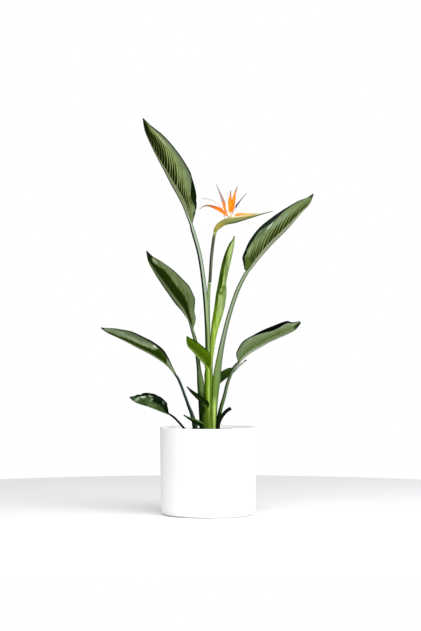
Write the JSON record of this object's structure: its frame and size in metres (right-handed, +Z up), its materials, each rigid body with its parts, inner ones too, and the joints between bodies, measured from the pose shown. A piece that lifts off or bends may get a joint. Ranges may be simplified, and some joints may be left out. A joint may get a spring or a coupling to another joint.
{
  "type": "potted bird of paradise plant",
  "caption": "Bird of paradise plant in a round white pot: paddle-shaped folded leaves on long petioles and an orange and blue flower with a beak-like bract on an upright stalk.",
  "frame": {"origin": "middle of the pot's flat underside", "axes": "+Z up, +X to the right and +Y away from someone who looks at the front of the plant"},
  "size_m": [0.6276, 0.28, 1.141],
  "materials": {
    "pot": "satin",
    "soil": "matte",
    "dark_leaf": "satin",
    "mid_leaf": "satin",
    "bright_leaf": "satin",
    "stub": "matte",
    "stalk": "satin",
    "spathe": "satin",
    "orange_petal": "satin",
    "blue_petal": "satin",
    "pale_strand": "matte"
  },
  "bodies": {
    "root": {"pot": "pot", "soil": "soil", "leaf_tall_left": "dark_leaf", "leaf_tall_right": "dark_leaf", "leaf_mid_left": "dark_leaf", "leaf_low_left": "dark_leaf", "leaf_lowest_left": "dark_leaf", "leaf_low_right": "dark_leaf", "leaf_young_rolled": "bright_leaf", "leaf_small_bright": "bright_leaf", "leaf_small_right": "mid_leaf", "leaf_small_sheath": "mid_leaf", "leaf_tiny_front": "mid_leaf", "petiole_stub": "stub", "flower_stalk": "stalk", "flower_spathe": "spathe", "flower_sepals": "orange_petal", "flower_sepal_in_spathe": "orange_petal", "flower_tongue": "blue_petal", "flower_strand": "pale_strand"}
  },
  "joints": []
}
